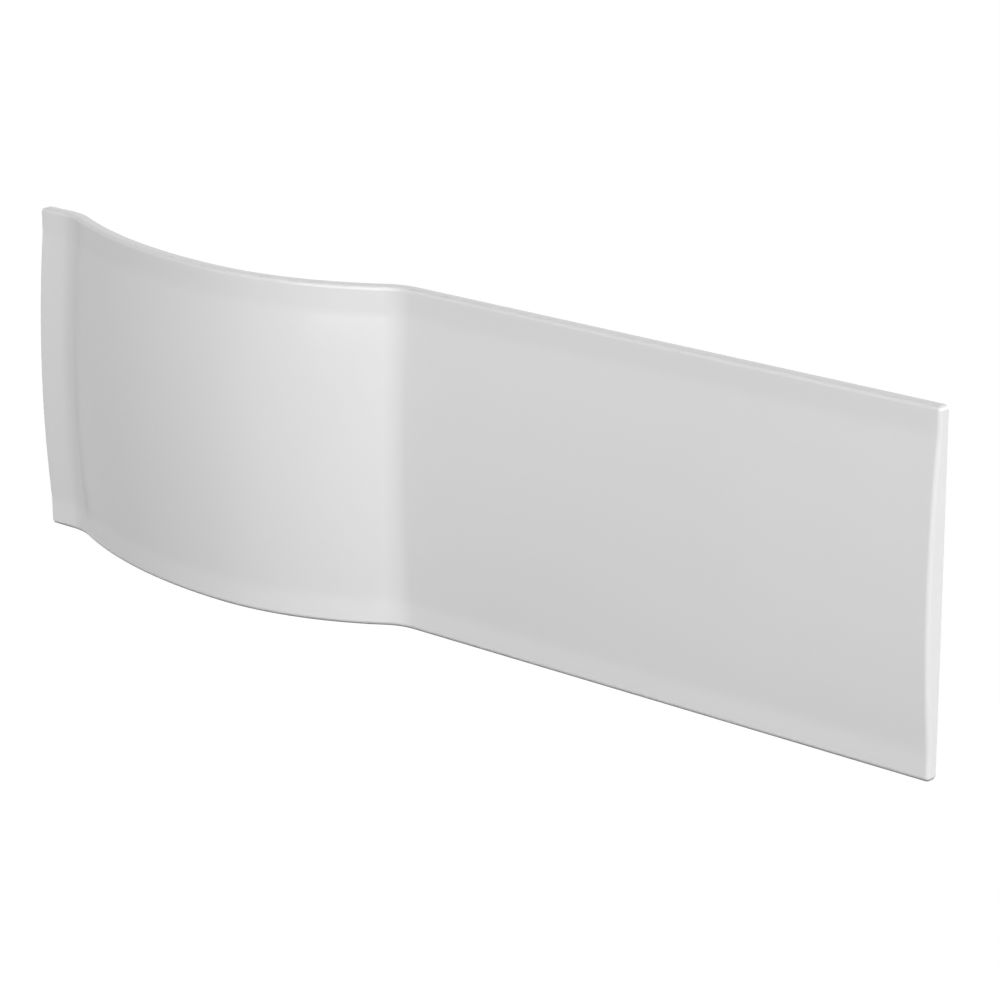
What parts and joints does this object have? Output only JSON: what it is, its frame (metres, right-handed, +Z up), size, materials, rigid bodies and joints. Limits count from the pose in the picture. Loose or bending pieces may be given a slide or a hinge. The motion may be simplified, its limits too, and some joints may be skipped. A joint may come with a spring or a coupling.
{
  "type": "bath panel",
  "caption": "White acrylic front panel for a shower bath, with a bowed end, a gently crowned face and all edges turned back, closing the space under the bath rim.",
  "frame": {"origin": "on the floor, under the middle of the panel's bounding box", "axes": "+X along the length with the bow at -X, the face looks along -Y, +Z up"},
  "size_m": [1.7, 0.126, 0.51],
  "materials": {
    "white_acrylic": "polished gloss on the face, duller on the back"
  },
  "bodies": {
    "root": {"bath_panel": "white_acrylic"}
  },
  "joints": []
}
